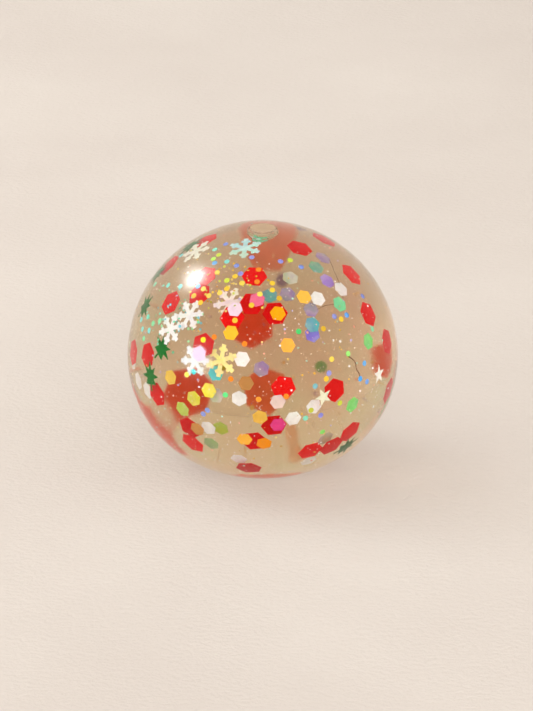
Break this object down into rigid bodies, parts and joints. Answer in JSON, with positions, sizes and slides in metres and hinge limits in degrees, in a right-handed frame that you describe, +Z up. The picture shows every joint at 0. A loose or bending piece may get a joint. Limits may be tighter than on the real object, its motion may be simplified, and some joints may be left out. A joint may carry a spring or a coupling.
{
  "type": "squishy ball",
  "caption": "Clear soft ball with a flat resting face, filled with gel that holds foil hexagons, snowflakes, leaves, stars and dots; it squashes when pressed.",
  "frame": {"origin": "middle of the flat that the ball rests on", "axes": "+Z up through the filling plug, -Y towards the side that the picture shows, +X to its right"},
  "size_m": [0.065, 0.065, 0.06],
  "materials": {
    "clear_skin": "clear glossy soft skin",
    "clear_plug": "clear glossy soft plug",
    "clear_gel": "clear warm-toned gel",
    "red_hexagons": "glossy opaque foil",
    "white_hexagons": "opaque foil",
    "orange_hexagons": "glossy foil",
    "lime_hexagons": "glossy foil",
    "lilac_hexagons": "glossy foil",
    "aqua_hexagons": "glossy foil",
    "mint_hexagons": "glossy foil",
    "pink_hexagons": "glossy foil",
    "magenta_hexagons": "glossy foil",
    "silver_hexagons": "glossy foil",
    "white_snowflakes": "glossy foil",
    "pearl_snowflakes": "glossy foil",
    "green_leaves": "glossy foil",
    "pale_stars": "glossy foil",
    "gold_dots": "glossy foil",
    "orange_dots": "glossy foil",
    "blue_dots": "glossy foil",
    "mint_dots": "glossy foil",
    "lime_dots": "glossy foil"
  },
  "bodies": {
    "ball": {"skin": "clear_skin", "gel_fill": "clear_gel", "red_hexagons": "red_hexagons", "white_hexagons": "white_hexagons", "orange_hexagons": "orange_hexagons", "lime_hexagons": "lime_hexagons", "lilac_hexagons": "lilac_hexagons", "aqua_hexagons": "aqua_hexagons", "mint_hexagons": "mint_hexagons", "pink_hexagons": "pink_hexagons", "magenta_hexagons": "magenta_hexagons", "silver_hexagons": "silver_hexagons", "white_snowflakes": "white_snowflakes", "pearl_snowflakes": "pearl_snowflakes", "green_leaves": "green_leaves", "pale_stars": "pale_stars", "gold_dots": "gold_dots", "orange_dots": "orange_dots", "blue_dots": "blue_dots", "mint_dots": "mint_dots", "lime_dots": "lime_dots"},
    "crown": {"fill_plug": "clear_plug"}
  },
  "joints": [
    {"name": "squeeze", "type": "slide", "parent": "ball", "child": "crown", "axis": [0, 0, -1], "range_m": [0, 0.02], "stiffness_N_per_m": 900, "deforming": ["skin", "gel_fill", "red_hexagons", "white_hexagons", "orange_hexagons", "lime_hexagons", "lilac_hexagons", "aqua_hexagons", "mint_hexagons", "pink_hexagons", "magenta_hexagons", "silver_hexagons", "white_snowflakes", "pearl_snowflakes", "green_leaves", "pale_stars", "gold_dots", "orange_dots", "blue_dots", "mint_dots", "lime_dots"]}
  ]
}
